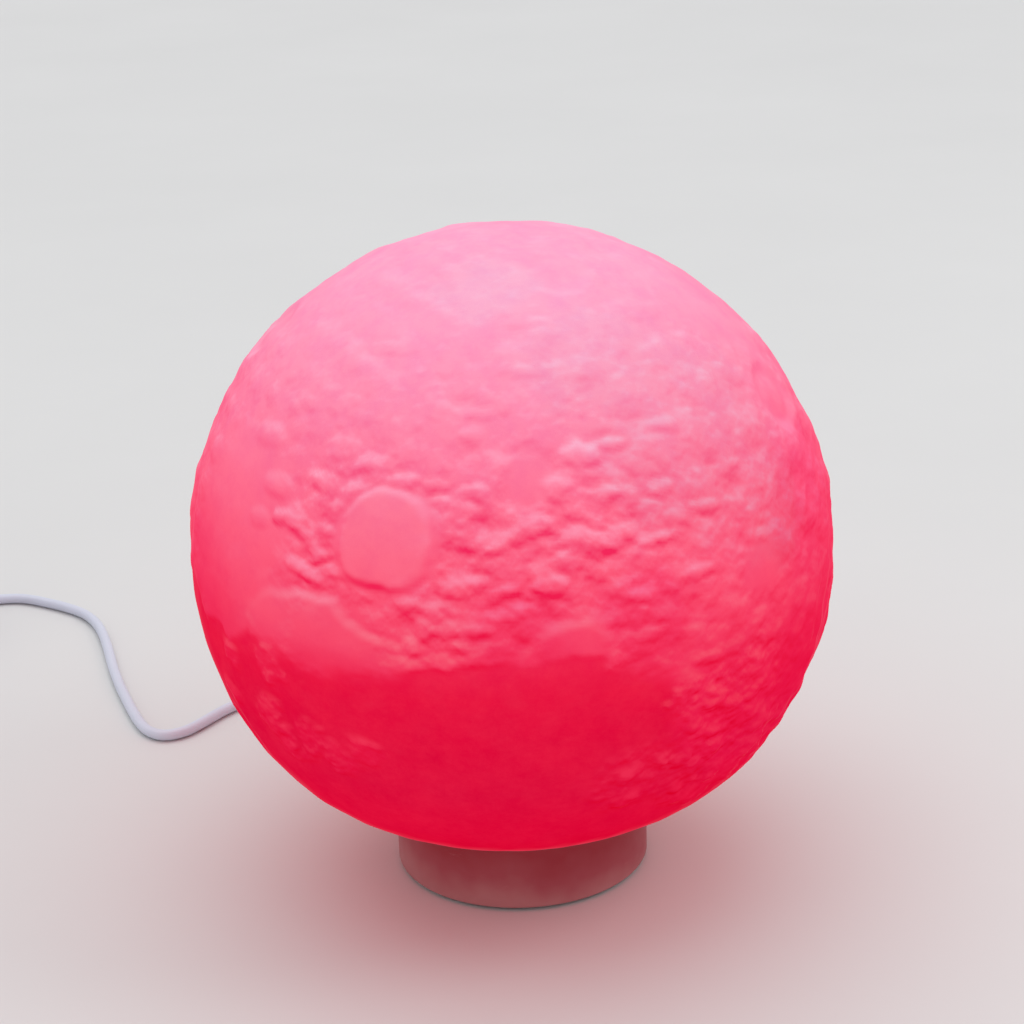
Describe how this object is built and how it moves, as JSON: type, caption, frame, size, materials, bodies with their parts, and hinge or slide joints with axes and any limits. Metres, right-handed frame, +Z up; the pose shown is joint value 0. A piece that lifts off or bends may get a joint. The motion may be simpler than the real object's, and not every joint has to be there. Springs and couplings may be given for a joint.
{
  "type": "moon lamp",
  "caption": "Glowing moon-shaped table lamp: hollow cratered shade that lifts off a short round base, with a push button, a cord and a plug.",
  "frame": {"origin": "middle of the base, on the table", "axes": "+Z up along the shade's axis; the cord leaves the base towards +Y, so -Y is the front"},
  "size_m": [0.2974, 0.2495, 0.1567],
  "materials": {
    "moon_print": "printed, translucent, lit from inside",
    "ring_plastic": "satin",
    "base_plastic": "satin",
    "cover_plastic": "fine texture",
    "screw_steel": "zinc plated",
    "foot_rubber": "matte",
    "lamp_board": "white mask",
    "lamp_lens": "clear resin",
    "red_wire": "wire insulation",
    "frosted_plastic": "frosted",
    "circuit_board": "solder mask",
    "chip_resin": "moulded resin",
    "capacitor_sleeve": "shrink sleeve",
    "connector_nylon": "nylon",
    "switch_plastic": "moulded",
    "button_plastic": "satin",
    "gland_plastic": "soft moulded",
    "cord_sheath": "smooth sheath",
    "tie_band": "woven band",
    "grip_plastic": "soft moulded",
    "plug_metal": "nickel plated",
    "tongue_plastic": "moulded",
    "contact_gold": "plated"
  },
  "bodies": {
    "shade": {"moon_shade": "moon_print", "mouth_ring": "ring_plastic"},
    "base": {"base_housing": "base_plastic", "bottom_cover": "cover_plastic", "cover_screws": "screw_steel", "rubber_feet": "foot_rubber", "led_board": "lamp_board", "led_lamps": "lamp_lens", "led_screws": "screw_steel", "led_leads": "red_wire", "diffuser_cap": "frosted_plastic", "control_board": "circuit_board", "board_screws": "screw_steel", "driver_chip": "chip_resin", "memory_chip": "chip_resin", "filter_capacitor": "capacitor_sleeve", "lead_socket": "connector_nylon", "lead_plug": "connector_nylon", "switch_body": "switch_plastic", "cord_gland": "gland_plastic", "inner_lead": "cord_sheath", "lead_wires": "red_wire", "cord_clamp": "cover_plastic", "clamp_screws": "screw_steel", "cord": "cord_sheath", "cord_coil": "cord_sheath", "cord_tail": "cord_sheath", "coil_tie": "tie_band", "plug_grip": "grip_plastic", "plug_shell": "plug_metal", "plug_tongue": "tongue_plastic", "plug_contacts": "contact_gold"},
    "button": {"switch_plunger": "switch_plastic", "push_button": "button_plastic"}
  },
  "joints": [
    {"name": "shade_lift", "type": "slide", "parent": "base", "child": "shade", "axis": [0, 0, 1], "range_m": [0, 0.04]},
    {"name": "button_press", "type": "slide", "parent": "base", "child": "button", "axis": [-0.766, -0.6428, 0], "range_m": [0, 0.0008], "stiffness_N_per_m": 1500, "springref_m": -0.0002}
  ]
}
